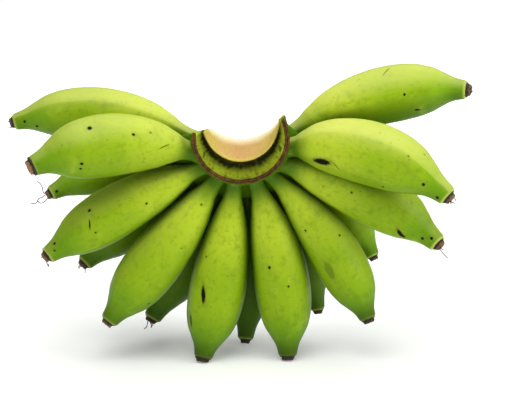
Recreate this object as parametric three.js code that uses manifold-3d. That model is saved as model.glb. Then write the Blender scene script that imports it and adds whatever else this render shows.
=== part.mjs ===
// A hand of plump green bananas cut from its stalk: seventeen fruits in two rows on one crown.
// Millimetres, +Z up, +Y away from the front row. The hand stands on three fruit tips.
//
// Everything is laid out in the fan's own frame and settled on its tips at the end. In that frame the
// stalk ran along Y, the fan hangs towards -Z and the front row faces -Y. A fan angle is measured at
// the stalk from straight down, positive towards +X.
import * as THREE from "three";
import { mergeVertices } from "three/addons/utils/BufferGeometryUtils.js";
import Module from "manifold-3d";

const wasm = await Module();
wasm.setup();

// Clearance between pieces that touch.
const GAP = 0.3;

// Corners closer than this are one corner.
const WELD = 1e-3;

// Crown: a thick collar round the stalk, scooped out by the cut that freed it.
const CROWN_RADIUS = 35;
const CROWN_SWELL_RADIUS = 42;
const CROWN_WEB_RADIUS = 46;
const CROWN_DEPTH = 42;
const CROWN_RIM_RADIUS = 34;
const CROWN_LIP_RADIUS = 26;
const CROWN_LIP_RISE = 9;
const CROWN_LIP_FORWARD = 4;
const CROWN_SIDES = 72;

// Fan angles between which the swelling that the stalks grow from dies out towards the horns.
const SWELL_FADE_START = 68;
const SWELL_FADE_END = 98;

// Side of the collar from its back, over the swelling and its web between the two rows, to its rim,
// then the cove inside the rim: distance from the stalk, depth.
const CROWN_OUTLINE = [
  [24, CROWN_DEPTH],
  [33, CROWN_DEPTH - 3],
  [40, CROWN_DEPTH - 9],
  [CROWN_SWELL_RADIUS, CROWN_DEPTH - 16],
  [CROWN_WEB_RADIUS, CROWN_DEPTH / 2],
  [CROWN_SWELL_RADIUS, 13],
  [40.5, 5],
  [37.5, 1.5],
  [CROWN_RIM_RADIUS, 0],
  [33, 1.5],
  [29, 4],
  [24, 5],
  [20.5, 1],
];

// The cut: how deep its floor lies, how wide it opens and where it leaves the horns.
const CUT_FLOOR = 16.5;
const CUT_FRONT_RADIUS = 26;
const CUT_BACK_RADIUS = 37;
const CUT_OVERRUN = 8;
const HORN_SLOPE = 17;
const HORN_LEFT_HEIGHT = 3;
const HORN_RIGHT_HEIGHT = 17;

// Bract scar: a corky ridge round the front edge of the collar.
const SCAR_RADIUS = 35;
const SCAR_HALF_WIDTH = 1.7;
const SCAR_FORWARD = 1;
const SCAR_START = -97;
const SCAR_END = 114;
const SCAR_STEPS = 36;
const SCAR_SIDES = 8;

// Fruit outline: share of the length, share of half the girth.
const FRUIT_OUTLINE = [
  [0, 0.3],
  [0.08, 0.32],
  [0.17, 0.5],
  [0.3, 0.77],
  [0.45, 0.94],
  [0.58, 1],
  [0.7, 0.96],
  [0.8, 0.82],
  [0.88, 0.59],
  [0.94, 0.4],
  [1, 0.33],
];
const FRUIT_SIDES = 20;
const FRUIT_STATIONS = 16;
const FRUIT_RIDGES = 5;
const RIDGE_SHARPNESS = 0.34;
const ROOT_DEPTH = 8;

// Flower end: a dry cap on the tip of each fruit. Outline: share of the height, share of the radius.
const FLOWER_END_SHARE = 0.29;
const FLOWER_END_HEIGHT = 4;
const FLOWER_END_OUTLINE = [
  [0, 0],
  [0, 1],
  [0.45, 0.9],
  [0.9, 0.55],
  [1, 0],
];
const FLOWER_END_SIDES = 10;

// Depth of the flat worn on the three tips that carry the hand.
const FLAT_DEPTH = 0.7;

// Side of the blocks that stand for the floor and for all that lies above the horns.
const BLOCK_SIZE = 600;

const CROWN_FINISH = { color: "#7f9a2c", roughness: 0.6 };
const SCAR_FINISH = { color: "#4a3a18", roughness: 0.85 };
const SKIN_FINISH = { color: "#86ad2a", roughness: 0.45 };
const FLOWER_END_FINISH = { color: "#2f2a14", roughness: 0.9 };

// How far back on the crown the two rows sit.
const FRONT_DEPTH = 10;
const BACK_DEPTH = 30;

// The two rows, left to right. seat: fan angle of the stalk on the crown; fan: fan angle it sets out
// at; lift: how far it sets out forwards; bend: how far the fruit curls from there; lean: how far that
// curl leans from forwards to one side; roll: where the ridges lie. Where it differs from its row, also
// skew: how far the bulge lies towards the stalk; depth: how far back the stalk sits.
const FRONT_ROW = [
  { seat: -62, fan: -111.4, lift: 8, bend: 41, lean: -60.5, length: 131, girth: 49, roll: 30, skew: 0.1 },
  { seat: -44, fan: -63.7, lift: -4, bend: 32, lean: -3, length: 143.5, girth: 43, roll: 40 },
  { seat: -25, fan: -34, lift: -2, bend: 26, lean: 16.5, length: 149, girth: 46, roll: 34, skew: -0.1 },
  { seat: -7, fan: -6.5, lift: -8, bend: 40, lean: 11, length: 151.5, girth: 46.5, roll: 40, skew: -0.2 },
  { seat: 15, fan: 19.5, lift: -8, bend: 40, lean: 26, length: 152.5, girth: 46, roll: 30, skew: -0.15 },
  { seat: 32, fan: 44, lift: -8, bend: 39, lean: 29, length: 147, girth: 42, roll: 36, skew: -0.25 },
  { seat: 48, fan: 73.2, lift: -16, bend: 52.5, lean: 19, length: 145, girth: 47.5, roll: 28, skew: 0.2 },
  { seat: 70, fan: 104, lift: 10, bend: 50, lean: 62.4, length: 134.5, girth: 50, roll: 15, skew: 0.4 },
];
const BACK_ROW = [
  { seat: -72, fan: -108, lift: -29, bend: 48, lean: -42.5, length: 151.5, girth: 42, roll: 14, depth: 24 },
  { seat: -57, fan: -73.6, lift: -30, bend: 57.3, lean: -4.6, length: 133, girth: 38, roll: 30, skew: 0.1 },
  { seat: -38, fan: -45.7, lift: -28, bend: 56.5, lean: 6.5, length: 145, girth: 44.5, roll: 40 },
  { seat: -19, fan: -14, lift: -28, bend: 57, lean: 21.8, length: 158.5, girth: 47, roll: 34 },
  { seat: 1, fan: 8.5, lift: -26, bend: 58, lean: 16, length: 158, girth: 41, roll: 36 },
  { seat: 21, fan: 31.7, lift: -26, bend: 53, lean: 25.6, length: 145.7, girth: 38, roll: 30, skew: 0.1 },
  { seat: 40, fan: 59, lift: -31, bend: 64, lean: 31.7, length: 129, girth: 37, roll: 36 },
  { seat: 58, fan: 79, lift: -34, bend: 63.5, lean: 7, length: 128, girth: 40, roll: 40 },
  { seat: 74, fan: 118.2, lift: -26, bend: 54, lean: 30, length: 149, girth: 46, roll: 34, depth: 25 },
];

// The tips that carry the hand: two of the front row and the middle of the back row.
const STANDING = ["front_4", "front_5", "back_5"];

const radians = THREE.MathUtils.degToRad;

// A closed geometry as a solid for cutting.
function solidOf(geometry) {
  const bare = geometry.clone();
  bare.deleteAttribute("normal");
  bare.deleteAttribute("uv");
  const merged = mergeVertices(bare, WELD);
  return new wasm.Manifold(
    new wasm.Mesh({
      numProp: 3,
      vertProperties: merged.attributes.position.array,
      triVerts: new Uint32Array(merged.index.array),
    }),
  );
}

// A solid back as a geometry.
function geometryOf(solid) {
  const cut = solid.getMesh();
  const geometry = new THREE.BufferGeometry();
  geometry.setAttribute("position", new THREE.BufferAttribute(cut.vertProperties, 3));
  geometry.setIndex(new THREE.BufferAttribute(cut.triVerts, 1));
  return geometry;
}

// Moves every vertex of a geometry by a rule that changes the vector it is given.
function reshape(geometry, rule) {
  const position = geometry.getAttribute("position");
  const point = new THREE.Vector3();
  for (let i = 0; i < position.count; i += 1) {
    point.fromBufferAttribute(position, i);
    rule(point);
    position.setXYZ(i, point.x, point.y, point.z);
  }
  return geometry;
}

// Distance from the stalk to the lip of the cut at a fan angle.
function lipRadius(angle) {
  const across = CROWN_LIP_RISE * Math.sin(angle);
  return Math.sqrt(CROWN_LIP_RADIUS ** 2 - across ** 2) - CROWN_LIP_RISE * Math.cos(angle);
}

// The collar before the cut, turned about the stalk. Its swelling dies out towards the horns. Its front
// is a cove that climbs to the lip and narrows towards the horns.
function collar(grow) {
  const lip = lipRadius(0);
  const middle = CROWN_DEPTH / 2;
  const corners = CROWN_OUTLINE.map(([radius, depth]) => {
    const wider = radius > CROWN_LIP_RADIUS ? radius + grow : radius;
    return new THREE.Vector2(wider, depth > middle ? depth + grow : depth - grow);
  });
  const front = -CROWN_LIP_FORWARD - grow;
  const profile = [
    new THREE.Vector2(0, front),
    new THREE.Vector2(lip, front),
    ...corners.reverse(),
    new THREE.Vector2(0, CROWN_DEPTH + grow),
  ];
  const base = CROWN_RADIUS + grow;
  return reshape(new THREE.LatheGeometry(profile, CROWN_SIDES), (point) => {
    const radius = Math.hypot(point.x, point.z);
    const angle = Math.atan2(point.x, -point.z);
    let wanted = radius;
    if (radius > base) {
      const turn = Math.abs(THREE.MathUtils.radToDeg(angle));
      const fade = 1 - THREE.MathUtils.smoothstep(turn, SWELL_FADE_START, SWELL_FADE_END);
      wanted = base + (radius - base) * fade;
    } else if (point.y < middle && radius > 0 && radius < CROWN_RIM_RADIUS) {
      const narrow = (CROWN_RIM_RADIUS - lipRadius(angle)) / (CROWN_RIM_RADIUS - lip);
      wanted = CROWN_RIM_RADIUS - (CROWN_RIM_RADIUS - radius) * narrow;
    }
    const scale = radius > 0 ? wanted / radius : 1;
    point.x *= scale;
    point.z *= scale;
  });
}

// The scooped cut: a cone along the stalk that flattens towards the back, with a level floor.
function scoop() {
  const front = -CUT_OVERRUN;
  const length = CROWN_DEPTH + 2 * CUT_OVERRUN;
  const flare = (CUT_BACK_RADIUS - CUT_FRONT_RADIUS) / length;
  const cone = new THREE.CylinderGeometry(CUT_BACK_RADIUS, CUT_FRONT_RADIUS, length, CROWN_SIDES);
  cone.translate(0, front + length / 2, 0);
  return reshape(cone, (point) => {
    point.z += CUT_FRONT_RADIUS + flare * (point.y - front) - CUT_FLOOR;
  });
}

// Everything above the ends of the two horns.
function hornCut() {
  const rise = HORN_RIGHT_HEIGHT - HORN_LEFT_HEIGHT;
  const box = new THREE.BoxGeometry(BLOCK_SIZE, BLOCK_SIZE, BLOCK_SIZE);
  box.translate(0, 0, BLOCK_SIZE / 2);
  box.rotateX(-radians(HORN_SLOPE));
  box.rotateY(-Math.atan2(rise, 2 * CROWN_RADIUS));
  box.translate(0, 0, (HORN_LEFT_HEIGHT + HORN_RIGHT_HEIGHT) / 2);
  return box;
}

// The ridge of the bract scar, a rounded bar along an arc.
function scarRidge(grow) {
  const points = [];
  const overrun = THREE.MathUtils.radToDeg((2 * grow) / SCAR_RADIUS);
  for (let step = 0; step <= SCAR_STEPS; step += 1) {
    const share = step / SCAR_STEPS;
    const angle = radians(THREE.MathUtils.lerp(SCAR_START - overrun, SCAR_END + overrun, share));
    points.push(
      new THREE.Vector3(SCAR_RADIUS * Math.sin(angle), -SCAR_FORWARD, -SCAR_RADIUS * Math.cos(angle)),
    );
  }
  const section = new THREE.Shape();
  for (let side = 0; side < SCAR_SIDES; side += 1) {
    const angle = (2 * Math.PI * side) / SCAR_SIDES;
    const radius = SCAR_HALF_WIDTH + grow;
    const corner = [radius * Math.cos(angle), radius * Math.sin(angle)];
    if (side === 0) {
      section.moveTo(...corner);
    } else {
      section.lineTo(...corner);
    }
  }
  const path = new THREE.CatmullRomCurve3(points);
  return new THREE.ExtrudeGeometry(section, { extrudePath: path, steps: SCAR_STEPS });
}

// Rounded five-sided cross-section: share of the full radius at an angle round the fruit.
function ridgeShare(angle) {
  const half = Math.PI / FRUIT_RIDGES;
  const turn = THREE.MathUtils.euclideanModulo(angle, 2 * half) - half;
  return 1 - RIDGE_SHARPNESS + (RIDGE_SHARPNESS * Math.cos(half)) / Math.cos(turn);
}

// Carries a point from the straight fruit, grown along Y, to its place in the fan.
function bendIntoFan(point, fruit) {
  const turn = radians(fruit.bend) / fruit.length;
  const angle = turn * point.y;
  const along = Math.sin(angle) / turn - point.z * Math.sin(angle);
  const forward = (1 - Math.cos(angle)) / turn + point.z * Math.cos(angle);
  point.set(point.x, along, forward);
  point.applyMatrix4(fruit.frame);
}

// Where a fruit's stalk leaves the crown and which way it points.
function fruitFrame(fruit) {
  const seat = radians(fruit.seat);
  const fan = radians(fruit.fan);
  const lift = radians(fruit.lift);
  const outward = new THREE.Vector3(Math.sin(fan), 0, -Math.cos(fan));
  const forward = new THREE.Vector3(0, -1, 0);
  const along = outward.clone().multiplyScalar(Math.cos(lift)).addScaledVector(forward, Math.sin(lift));
  const across = outward.clone().cross(forward);
  const facing = across.clone().cross(along);
  return new THREE.Matrix4()
    .makeBasis(across, along, facing)
    .multiply(new THREE.Matrix4().makeRotationY(radians(fruit.lean)))
    .setPosition(CROWN_RADIUS * Math.sin(seat), fruit.depth, -CROWN_RADIUS * Math.cos(seat));
}

// A fruit with its stalk, before it is trimmed to the crown and to the fruits it presses against.
function fruitShape(fruit, grow) {
  const knots = FRUIT_OUTLINE.map(([along, share]) => {
    const shifted = along - fruit.skew * along * (1 - along);
    return new THREE.Vector2((share * fruit.girth) / 2 + grow, shifted * fruit.length);
  });
  const outline = new THREE.SplineCurve(knots).getPoints(FRUIT_STATIONS);
  const root = -ROOT_DEPTH - grow;
  const profile = [
    new THREE.Vector2(0, root),
    new THREE.Vector2(outline[0].x, root),
    ...outline.slice(1),
    new THREE.Vector2(0, fruit.length),
  ];
  const roll = radians(fruit.roll);
  return reshape(new THREE.LatheGeometry(profile, FRUIT_SIDES, roll), (point) => {
    const share = ridgeShare(Math.atan2(point.x, point.z) - roll);
    point.x *= share;
    point.z *= share;
    bendIntoFan(point, fruit);
  });
}

// The dry cap just beyond the tip of a fruit.
function flowerEndShape(fruit) {
  const base = fruit.length + GAP;
  const radius = (FLOWER_END_SHARE * fruit.girth) / 2;
  const profile = FLOWER_END_OUTLINE.map(
    ([height, share]) => new THREE.Vector2(share * radius, base + height * FLOWER_END_HEIGHT),
  );
  return reshape(new THREE.LatheGeometry(profile, FLOWER_END_SIDES), (point) => bendIntoFan(point, fruit));
}

const fruits = new Map();
for (const [row, depth, list] of [
  ["front", FRONT_DEPTH, FRONT_ROW],
  ["back", BACK_DEPTH, BACK_ROW],
]) {
  list.forEach((entry, index) => {
    const fruit = { depth, skew: 0, ...entry };
    fruits.set(`${row}_${index + 1}`, { ...fruit, frame: fruitFrame(fruit) });
  });
}

// The end of a fruit's cap, in the fan's frame.
function capEnd(fruit) {
  const point = new THREE.Vector3(0, fruit.length + GAP + FLOWER_END_HEIGHT, 0);
  bendIntoFan(point, fruit);
  return point;
}

// The hand settles with the three standing tips level.
const [left, right, back] = STANDING.map((name) => capEnd(fruits.get(name)));
const up = right.clone().sub(left).cross(back.clone().sub(left)).normalize();
const hand = new THREE.Group();
hand.name = "hand";
const fan = new THREE.Group();
fan.name = "fan";
fan.quaternion.setFromUnitVectors(up, new THREE.Vector3(0, 0, 1));
fan.position.z = -left.clone().applyQuaternion(fan.quaternion).z - FLAT_DEPTH;
fan.updateMatrix();
hand.add(fan);

// The floor in the fan's frame, for the flats on the standing tips.
const floorBox = new THREE.BoxGeometry(BLOCK_SIZE, BLOCK_SIZE, BLOCK_SIZE);
floorBox.translate(0, 0, -BLOCK_SIZE / 2);
floorBox.applyMatrix4(fan.matrix.clone().invert());
const floor = solidOf(floorBox);

// What the stalks are trimmed to: the scar, and the collar with the stalk's core inside it.
const scarRoom = solidOf(scarRidge(GAP));
const coreShape = new THREE.CylinderGeometry(CROWN_RIM_RADIUS, CROWN_RIM_RADIUS, CROWN_DEPTH, CROWN_SIDES);
coreShape.translate(0, CROWN_DEPTH / 2, 0);
const collarRoom = solidOf(collar(GAP)).add(solidOf(coreShape));
const crown = solidOf(collar(0)).subtract(solidOf(scoop())).subtract(solidOf(hornCut())).subtract(scarRoom);

function addPiece(name, solid, finish) {
  const mesh = new THREE.Mesh(geometryOf(solid), new THREE.MeshStandardMaterial(finish));
  mesh.name = name;
  fan.add(mesh);
}

addPiece("crown", crown, CROWN_FINISH);
addPiece("bract_scar", solidOf(scarRidge(0)), SCAR_FINISH);
const rooms = [collarRoom, scarRoom];
for (const [name, fruit] of fruits) {
  const body = rooms.reduce((rest, room) => rest.subtract(room), solidOf(fruitShape(fruit, 0)));
  rooms.push(solidOf(fruitShape(fruit, GAP)));
  const cap = solidOf(flowerEndShape(fruit)).subtract(floor);
  addPiece(`banana_${name}`, body, SKIN_FINISH);
  addPiece(`flower_end_${name}`, cap, FLOWER_END_FINISH);
}

// Origin on the floor under the middle of the hand.
const box = new THREE.Box3().setFromObject(hand, true);
fan.position.x -= (box.min.x + box.max.x) / 2;
fan.position.y -= (box.min.y + box.max.y) / 2;

export default hand;
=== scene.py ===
import math
import bpy
import bmesh
from mathutils import Matrix, Quaternion, Vector, noise
from mathutils.bvhtree import BVHTree


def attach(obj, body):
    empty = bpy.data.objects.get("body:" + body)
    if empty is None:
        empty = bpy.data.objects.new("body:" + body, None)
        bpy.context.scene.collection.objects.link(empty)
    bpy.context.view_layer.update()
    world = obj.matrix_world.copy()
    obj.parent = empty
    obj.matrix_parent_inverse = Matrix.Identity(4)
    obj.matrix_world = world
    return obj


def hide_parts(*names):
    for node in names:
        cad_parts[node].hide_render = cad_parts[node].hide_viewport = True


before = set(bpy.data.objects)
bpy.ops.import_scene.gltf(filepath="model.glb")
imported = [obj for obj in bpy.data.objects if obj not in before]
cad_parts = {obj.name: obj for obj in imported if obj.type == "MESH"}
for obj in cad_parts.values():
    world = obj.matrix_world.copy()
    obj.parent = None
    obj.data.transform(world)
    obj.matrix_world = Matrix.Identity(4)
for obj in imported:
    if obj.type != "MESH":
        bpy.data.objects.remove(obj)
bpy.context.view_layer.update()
mm = 0.001


class Wire:  # one socket of a node tree, so that sums are written as sums
    def __init__(self, bench, socket):
        self.bench = bench
        self.socket = socket

    def calc(self, operation, *others):
        return self.bench.add("ShaderNodeMath", {"operation": operation}, dict(enumerate((self, *others))))

    def other(self, name):  # another output of the same node
        return Wire(self.bench, self.socket.node.outputs[name])

    def __add__(self, other):
        return self.calc("ADD", other)

    __radd__ = __add__

    def __mul__(self, other):
        return self.calc("MULTIPLY", other)

    __rmul__ = __mul__

    def __sub__(self, other):
        return self.calc("SUBTRACT", other)

    def __rsub__(self, other):
        return self.bench.add("ShaderNodeMath", {"operation": "SUBTRACT"}, {0: other, 1: self})

    def __truediv__(self, other):
        return self.calc("DIVIDE", other)

    def __rtruediv__(self, other):
        return self.bench.add("ShaderNodeMath", {"operation": "DIVIDE"}, {0: other, 1: self})

    def __pow__(self, other):
        return self.calc("POWER", other)


class Bench:  # a node tree and the one way to add a node to it
    def __init__(self, tree):
        self.tree = tree
        tree.nodes.clear()

    def add(self, kind, settings=None, values=None, out=0):
        node = self.tree.nodes.new(kind)
        for name, value in (settings or {}).items():
            if name == "points":
                curve = node.mapping.curves[0].points
                while len(curve) < len(value):
                    curve.new(0.5, 0.5)
                for point, place in zip(curve, value):
                    point.location = place
                node.mapping.update()
            else:
                setattr(node, name, value)
        for name, value in (values or {}).items():
            for part in value if isinstance(value, list) else [value]:
                if isinstance(part, Wire):
                    self.tree.links.new(part.socket, node.inputs[name])
                else:
                    node.inputs[name].default_value = part
        return Wire(self, node.outputs[out]) if len(node.outputs) else node

    def mix(self, share, first, second):
        return self.add("ShaderNodeMix", {"data_type": "RGBA"}, {0: share, 6: first, 7: second}, 2)

    def step(self, value, low, high):  # 0 below low, 1 above high, smooth between
        return self.add("ShaderNodeMapRange", {"interpolation_type": "SMOOTHSTEP"},
                        {"Value": value, "From Min": low, "From Max": high})

    def hump(self, value, middle, reach):  # 1 at the middle, 0 beyond the reach
        return 1 - self.step((value - middle).calc("ABSOLUTE"), 0, reach)

    def cloud(self, place, scale, detail=2.0, seed=0.0):
        return self.add("ShaderNodeTexNoise", {"noise_dimensions": "4D"},
                        {"Vector": place, "W": seed, "Scale": scale, "Detail": detail})

    def vector(self, operation, *values):
        return self.add("ShaderNodeVectorMath", {"operation": operation}, dict(enumerate(values)))

    def split(self, place):
        parts = self.add("ShaderNodeSeparateXYZ", None, {0: place})
        return parts, parts.other("Y"), parts.other("Z")

    def join(self, *parts):
        return self.add("ShaderNodeCombineXYZ", None, dict(enumerate(parts)))


def color(red, green, blue):  # screen values 0 to 255, as linear light
    def line(part):
        part /= 255
        return part / 12.92 if part < 0.04045 else ((part + 0.055) / 1.055) ** 2.4
    return (line(red), line(green), line(blue), 1)


# the stalk's middle and the way the fan leans back on its tips
hand = {
    "middle": (2.694 * mm, -29.053 * mm, 181.572 * mm),
    "lean": (0.995524, 0.094507, -0.000349, 0),
    "crownRadius": 35 * mm,
    "frontDepth": 10,
    "backDepth": 30,
}
toFloor = Matrix.Translation(hand["middle"]) @ Quaternion(hand["lean"]).to_matrix().to_4x4()

# camera at the photograph's angle
view = {"elevation": 13.3, "distance": 1.1, "right": 11.63 * mm, "down": 46.1 * mm,
        "lens": 103.1, "sensor": 36, "clipEnd": 50}
tilt = math.radians(view["elevation"])
ahead = Vector((0, math.cos(tilt), -math.sin(tilt)))
above = Vector((0, math.sin(tilt), math.cos(tilt)))
camera = bpy.data.objects.new("camera", bpy.data.cameras.new("camera"))
camera.data.lens = view["lens"]
camera.data.sensor_width = view["sensor"]
camera.data.clip_end = view["clipEnd"]
camera.location = Vector(hand["middle"]) - ahead * view["distance"] - above * view["down"]
camera.location.x += view["right"]
camera.rotation_euler = (math.pi / 2 - tilt, 0, 0)
bpy.context.scene.collection.objects.link(camera)
bpy.context.scene.camera = camera
print("camera set")

# what a fruit has unless its own line says otherwise; curl is the length of the dry threads at its tip
# the shade, flank, under and tip-darkening amounts set how much painted shade a fruit gets; the sun amount
# sets its painted highlight on top
usualFruit = dict(skew=0, threads=0, curl=4, shade=0, darkTip=0.25, dry=0.4, rounding=15, topHighlight=0.25, rub=0.08,
                  flankShade=0.95, under=0.3, capSize=0.9)
# fruits from left to right: sizes in millimetres, angles in degrees
bananas = {
    "front_1": dict(seat=-62, fan=-111.4, lift=8, bend=41, lean=-60.5, length=131, girth=49, roll=30,
                    skew=0.1, dry=0.95, rounding=24, topHighlight=0.4, capSize=1.1, flankShade=0.35, shade=0.08),
    "front_2": dict(seat=-44, fan=-63.7, lift=-4, bend=32, lean=-3, length=143.5, girth=43, roll=40,
                    threads=2, curl=14, dry=0.6, rounding=11, rub=0.25),
    "front_3": dict(seat=-25, fan=-34, lift=-2, bend=26, lean=16.5, length=149, girth=46, roll=34,
                    skew=-0.1, dry=0.45, darkTip=0.6),
    "front_4": dict(seat=-7, fan=-6.5, lift=-8, bend=40, lean=11, length=151.5, girth=46.5, roll=40,
                    skew=-0.2, dry=0.1, darkTip=0.9, capSize=1),
    "front_5": dict(seat=15, fan=19.5, lift=-8, bend=40, lean=26, length=152.5, girth=46, roll=30,
                    skew=-0.15, dry=0.1, darkTip=0.9, capSize=1),
    "front_6": dict(seat=32, fan=44, lift=-8, bend=39, lean=29, length=147, girth=42, roll=36, skew=-0.25,
                    dry=0.1, darkTip=0.8, capSize=1),
    "front_7": dict(seat=48, fan=73.2, lift=-16, bend=52.5, lean=19, length=145, girth=47.5, roll=28,
                    skew=0.2, threads=4, curl=8, dry=0.5, rounding=9, rub=0.2, flankShade=0.35, under=0.1,
                    darkTip=0),
    "front_8": dict(seat=70, fan=104, lift=10, bend=50, lean=62.4, length=134.5, girth=50, roll=25,
                    skew=0.4, threads=5, curl=6, dry=0.5, darkTip=0.1, rounding=4, topHighlight=0.6, rub=0.3,
                    flankShade=0.45),
    "back_1": dict(seat=-72, fan=-108, lift=-29, bend=48, lean=-42.5, length=151.5, girth=42, roll=14,
                   depth=24, threads=2, curl=6, dry=0.3, rounding=5, topHighlight=0.5, rub=0.3, flankShade=0.7, under=0.6,
                   shade=0.06),
    "back_2": dict(seat=-57, fan=-73.6, lift=-30, bend=57.3, lean=-4.6, length=133, girth=38, roll=30,
                   skew=0.1, threads=3, curl=15, dry=0.5, shade=0.1),
    "back_3": dict(seat=-38, fan=-45.7, lift=-28, bend=56.5, lean=6.5, length=145, girth=44.5, roll=40,
                   threads=3, curl=6, dry=0.2, shade=0.6, darkTip=0.6),
    "back_4": dict(seat=-19, fan=-14, lift=-28, bend=57, lean=21.8, length=158.5, girth=47, roll=34,
                   threads=4, curl=7, dry=0.2, shade=0.75, darkTip=0.6),
    "back_5": dict(seat=1, fan=8.5, lift=-26, bend=58, lean=16, length=158, girth=41, roll=36, dry=0.1,
                   shade=0.9, darkTip=0.6),
    "back_6": dict(seat=21, fan=31.7, lift=-26, bend=53, lean=25.6, length=145.7, girth=38, roll=30,
                   skew=0.1, dry=0.2, shade=0.75, darkTip=0.6),
    "back_7": dict(seat=40, fan=59, lift=-31, bend=64, lean=31.7, length=129, girth=37, roll=36,
                   dry=0.3, flankShade=0.5, under=0.1),
    "back_8": dict(seat=58, fan=79, lift=-34, bend=63.5, lean=7, length=128, girth=40, roll=40, threads=2,
                   curl=6, dry=0.4),
    "back_9": dict(seat=74, fan=118.2, lift=-26, bend=54, lean=30, length=149, girth=46, roll=34, depth=25,
                   threads=3, curl=5, dry=0.3, rounding=12, topHighlight=0.5, flankShade=0.7, under=0.9),
}
for name, fruit in bananas.items():
    row = "frontDepth" if name.startswith("front") else "backDepth"
    for key, value in dict(usualFruit, depth=hand[row]).items():
        fruit.setdefault(key, value)
    seat, fan, lift, bend = (math.radians(fruit[key]) for key in ("seat", "fan", "lift", "bend"))
    outward = Vector((math.sin(fan), 0, -math.cos(fan)))
    forward = Vector((0, -1, 0))
    along = outward * math.cos(lift) + forward * math.sin(lift)
    across = outward.cross(forward)
    basis = Matrix((across, along, across.cross(along))).transposed().to_4x4()
    start = Vector((math.sin(seat), 0, -math.cos(seat))) * hand["crownRadius"]
    start += Vector((0, fruit["depth"] * mm, 0))
    lean = Matrix.Rotation(math.radians(fruit["lean"]), 4, "Y")
    fruit["place"] = toFloor @ Matrix.Translation(start) @ basis @ lean
    turn = bend / (fruit["length"] * mm)
    end = Matrix.Translation((0, math.sin(bend) / turn, (1 - math.cos(bend)) / turn))
    fruit["tip"] = fruit["place"] @ end @ Matrix.Rotation(bend, 4, "X")


def newTree(name, inputs):  # a geometry tree with named inputs; returns its bench and the input wires
    tree = bpy.data.node_groups.new(name, "GeometryNodeTree")
    bench = Bench(tree)
    for label, kind in inputs.items():
        tree.interface.new_socket(name=label, in_out="INPUT", socket_type="NodeSocket" + kind)
    tree.interface.new_socket(name="Geometry", in_out="OUTPUT", socket_type="NodeSocketGeometry")
    entry = bench.add("NodeGroupInput")
    return bench, {label: entry.other(label) for label in inputs}


def closeTree(bench, shape, material):
    whole = bench.add("GeometryNodeRealizeInstances", None, {"Geometry": shape})
    dressed = bench.add("GeometryNodeSetMaterial", None, {"Geometry": whole, "Material": material})
    bench.add("NodeGroupOutput", None, {"Geometry": dressed})


# a sheet to be rolled up, the share along it, the share round it, and 0 at its two closed ends
def sheetOf(bench, stations, sides):
    size = {"Size X": 1, "Size Y": 1, "Vertices X": stations, "Vertices Y": sides + 1}
    sheet = bench.add("GeometryNodeMeshGrid", None, size)
    sheet = bench.add("GeometryNodeStoreNamedAttribute", {"data_type": "FLOAT2", "domain": "CORNER"},
                      {"Geometry": sheet, "Name": "chart", "Value": sheet.other("UV Map")})
    flatX, flatY = bench.split(bench.add("GeometryNodeInputPosition"))[:2]
    across = flatX + 0.5
    last = stations - 1
    isOpen = across.calc("GREATER_THAN", 0.4 / last) * across.calc("LESS_THAN", 1 - 0.4 / last)
    share = bench.add("ShaderNodeClamp", None, {"Value": (across * last - 1) / (last - 2)})
    return sheet, share, flatY + 0.5, isOpen


def rollUp(bench, sheet, place):
    shape = bench.add("GeometryNodeSetPosition", None, {"Geometry": sheet, "Position": place})
    shape = bench.add("GeometryNodeMergeByDistance", None, {"Geometry": shape, "Distance": 0.005 * mm})
    return bench.add("GeometryNodeSetShadeSmooth", None, {"Geometry": shape})


def settle(piece):  # the object as its modifiers leave it, as a plain mesh
    bpy.context.view_layer.update()
    lookup = bpy.context.evaluated_depsgraph_get()
    mesh = bpy.data.meshes.new_from_object(piece.evaluated_get(lookup), depsgraph=lookup)
    piece.modifiers.clear()
    piece.data = mesh
    return mesh


def newPiece(name, mesh=None):
    piece = bpy.data.objects.new(name, mesh or bpy.data.meshes.new(name))
    bpy.context.scene.collection.objects.link(piece)
    return piece


def faceOutwards(mesh):
    shape = bmesh.new()
    shape.from_mesh(mesh)
    bmesh.ops.recalc_face_normals(shape, faces=shape.faces)
    shape.to_mesh(mesh)
    shape.free()


def grow(name, tree, values, place):  # runs a tree on an empty mesh and keeps the result as a plain mesh
    piece = newPiece(name)
    modifier = piece.modifiers.new("grow", "NODES")
    modifier.node_group = tree
    sockets = {item.name: item.identifier for item in tree.interface.items_tree if item.in_out == "INPUT"}
    for label, value in values.items():
        modifier[sockets[label]] = value
    mesh = settle(piece)
    mesh.transform(place)
    faceOutwards(mesh)
    return piece


def keep(piece, slot, *nodes):
    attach(piece, "root")
    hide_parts(*nodes)


def newMaterial(name):
    material = bpy.data.materials.new(name)
    material.use_nodes = True
    return material, Bench(material.node_tree)


def closeMaterial(bench, spec, tint, rough, relief):  # one shader, with the relief as a fine bump
    strength, distance = spec["bump"]
    bump = bench.add("ShaderNodeBump", None, {"Strength": strength, "Distance": distance, "Height": relief})
    shader = bench.add("ShaderNodeBsdfPrincipled", None, {
        "Base Color": tint, "Roughness": rough, "Normal": bump, "Specular IOR Level": spec["gloss"]})
    bench.add("ShaderNodeOutputMaterial", None, {"Surface": shader})


# banana skin: the straight fruit lies along Y and is bent towards +Z
skinShape = {
    "outline": [(0, 0.29), (0.08, 0.31), (0.17, 0.49), (0.3, 0.77), (0.45, 0.94), (0.58, 1), (0.7, 0.96),
                (0.8, 0.82), (0.88, 0.58), (0.94, 0.4), (0.975, 0.345), (0.99, 0.325), (1, 0.27)],
    "ridges": 5,
    "sharpness": 0.34,
    "plump": 0.06,
    "root": 2 * mm,
    "flare": 0.2,
    "flareLength": 10 * mm,
    "wobble": 0.04,
    "wobbleScale": 22,
    "stations": 130,
    "sides": 120,
}


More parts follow.
